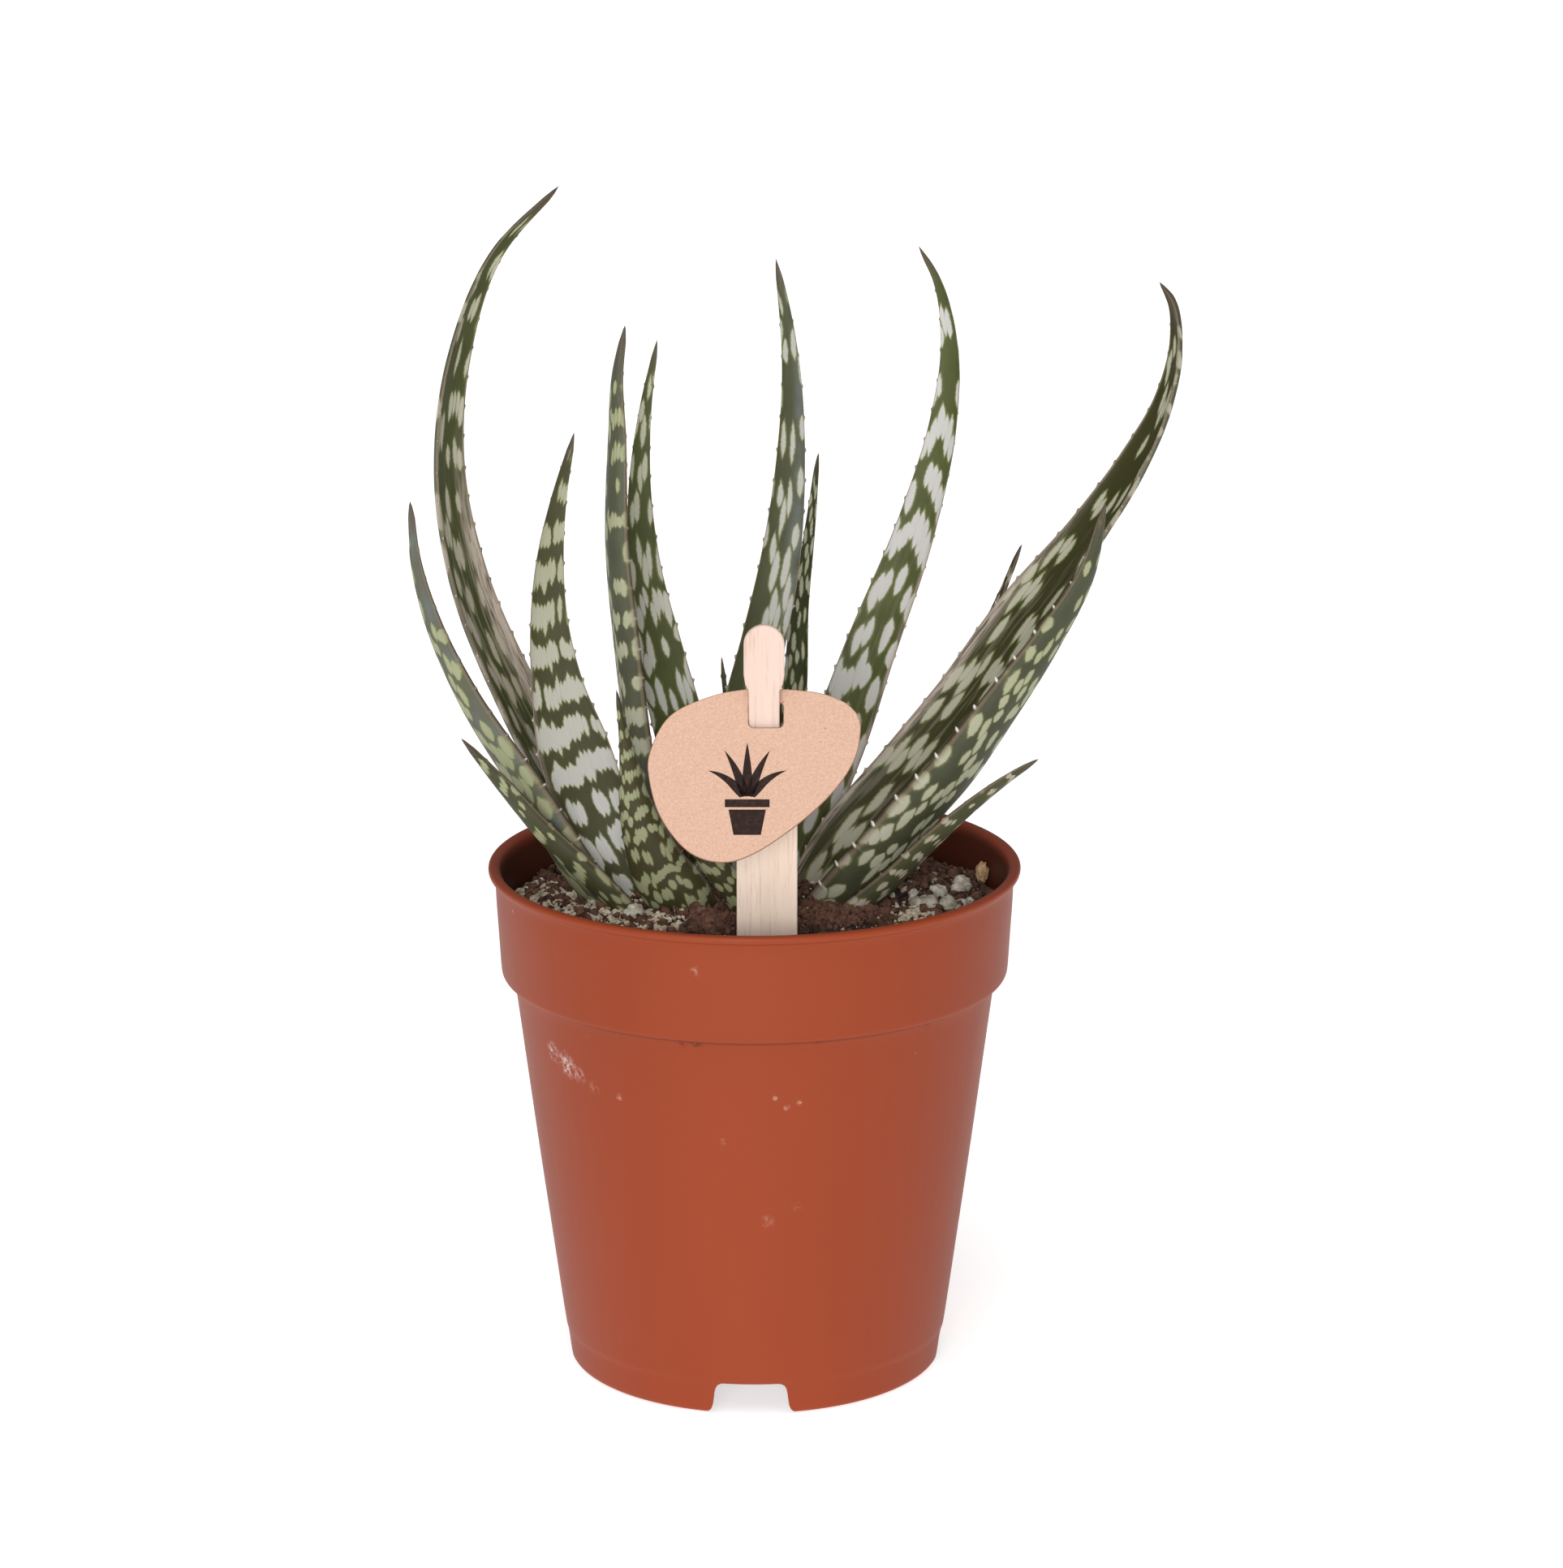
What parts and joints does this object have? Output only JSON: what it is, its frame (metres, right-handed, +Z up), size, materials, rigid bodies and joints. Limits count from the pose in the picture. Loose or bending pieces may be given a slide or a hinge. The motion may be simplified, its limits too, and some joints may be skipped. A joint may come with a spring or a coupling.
{
  "type": "potted aloe",
  "caption": "Spotted aloe with long toothed tapering leaves in a round plastic nursery pot, with a wooden label stick and a board card.",
  "frame": {"origin": "middle of the whole object's footprint, on the surface that the pot stands on", "axes": "+Z up; the side with the label faces -Y"},
  "size_m": [0.1278, 0.09, 0.201],
  "materials": {
    "pot_plastic": "red-brown moulded polypropylene, satin, dusty",
    "soil": "dark peat mixed with sand and pale pumice grains",
    "stem": "fleshy pale green stem",
    "leaf": "fleshy waxy dark green leaf with cream blotches and pale teeth",
    "stick_wood": "sanded bare birch",
    "card_board": "thick uncoated kraft board with fine flecks"
  },
  "bodies": {
    "root": {"pot": "pot_plastic", "soil": "soil", "stem": "stem", "leaf_01": "leaf", "leaf_02": "leaf", "leaf_03": "leaf", "leaf_04": "leaf", "leaf_05": "leaf", "leaf_06": "leaf", "leaf_07": "leaf", "leaf_08": "leaf", "leaf_09": "leaf", "leaf_10": "leaf", "leaf_11": "leaf", "leaf_12": "leaf", "leaf_13": "leaf", "leaf_14": "leaf", "leaf_15": "leaf", "leaf_16": "leaf", "label_stick": "stick_wood", "label_card": "card_board"}
  },
  "joints": []
}
